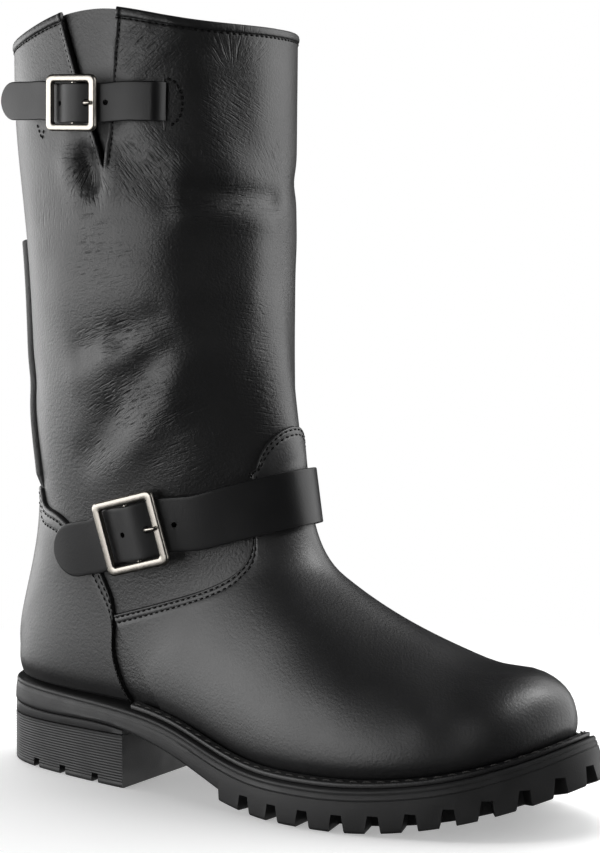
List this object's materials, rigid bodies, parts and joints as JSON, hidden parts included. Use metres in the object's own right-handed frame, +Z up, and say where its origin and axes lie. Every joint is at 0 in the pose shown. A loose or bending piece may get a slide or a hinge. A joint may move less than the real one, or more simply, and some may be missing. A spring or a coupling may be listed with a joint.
{
  "type": "buckle boot",
  "caption": "Tall pull-on leather boot for the right foot with a strap and square buckle at collar and instep, on a welted lug sole with a stacked rubber heel.",
  "frame": {"origin": "middle of the boot's box, on the floor under it", "axes": "+X to the toe, +Y to the inner side of the foot, +Z up"},
  "size_m": [0.31, 0.1292, 0.362],
  "materials": {
    "rubber": "matte",
    "leather": "satin",
    "strap": "satin",
    "lining": "matte",
    "metal": "satin"
  },
  "bodies": {
    "root": {"outsole": "rubber", "heel_lift": "rubber", "heel_block": "rubber", "welt": "leather", "insole": "lining", "upper": "leather", "vamp": "leather", "counter": "leather", "back_stay": "leather", "gusset": "leather", "instep_strap": "strap", "instep_chape": "strap", "instep_buckle": "metal", "instep_prong": "metal", "collar_strap": "strap", "collar_chape": "strap", "collar_buckle": "metal", "collar_prong": "metal"}
  },
  "joints": []
}
